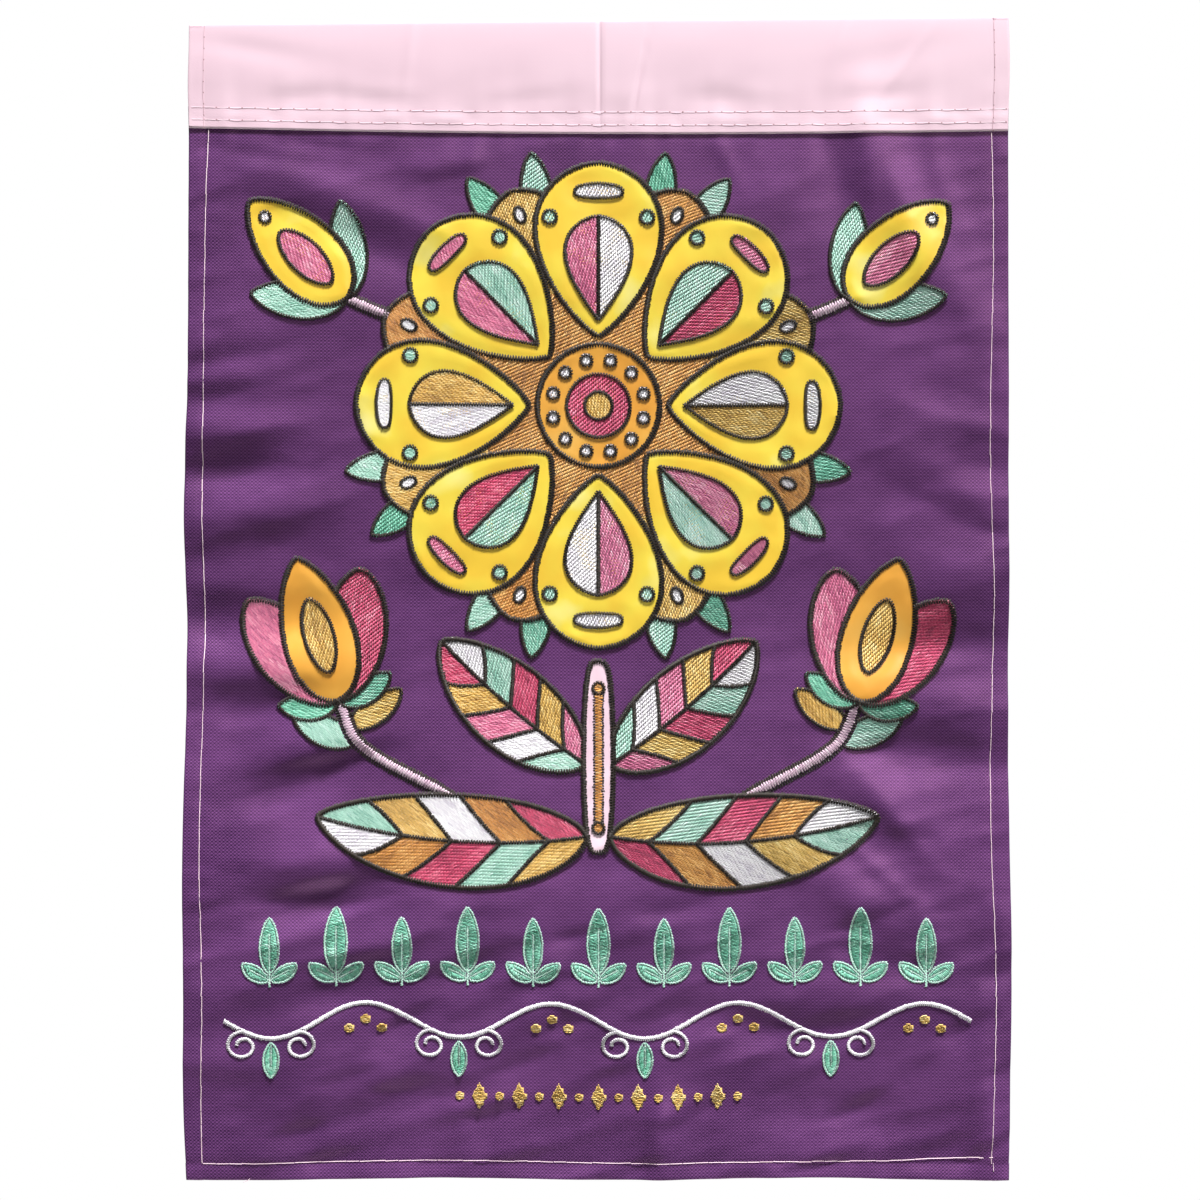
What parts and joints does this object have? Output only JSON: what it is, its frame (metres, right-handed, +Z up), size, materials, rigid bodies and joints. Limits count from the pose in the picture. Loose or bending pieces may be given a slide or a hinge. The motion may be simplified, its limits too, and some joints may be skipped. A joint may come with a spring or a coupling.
{
  "type": "house flag",
  "caption": "Hanging house flag: a hemmed cloth panel with an open pole sleeve along its top edge and satin flower applique on its face.",
  "frame": {"origin": "middle of the flag's top edge, where a pole in the sleeve would carry it", "axes": "+X along the top edge to the right as seen from the front, -Y out of the decorated face, +Z up"},
  "size_m": [0.7166, 0.0312, 1.0099],
  "materials": {
    "purple_cloth": "purple woven polyester with a soft sheen",
    "pink_cloth": "pale pink smooth woven polyester",
    "yellow_satin": "bright yellow polyester satin",
    "orange_satin": "golden orange polyester satin",
    "pink_satin": "pale pink polyester satin"
  },
  "bodies": {
    "root": {"flag_panel": "purple_cloth", "pole_sleeve": "pink_cloth", "petal_1": "yellow_satin", "petal_2": "yellow_satin", "petal_3": "yellow_satin", "petal_4": "yellow_satin", "petal_5": "yellow_satin", "petal_6": "yellow_satin", "petal_7": "yellow_satin", "petal_8": "yellow_satin", "bloom_heart": "orange_satin", "stem": "pink_satin", "tulip_left": "orange_satin", "tulip_right": "orange_satin", "bud_left": "yellow_satin", "bud_right": "yellow_satin"}
  },
  "joints": []
}
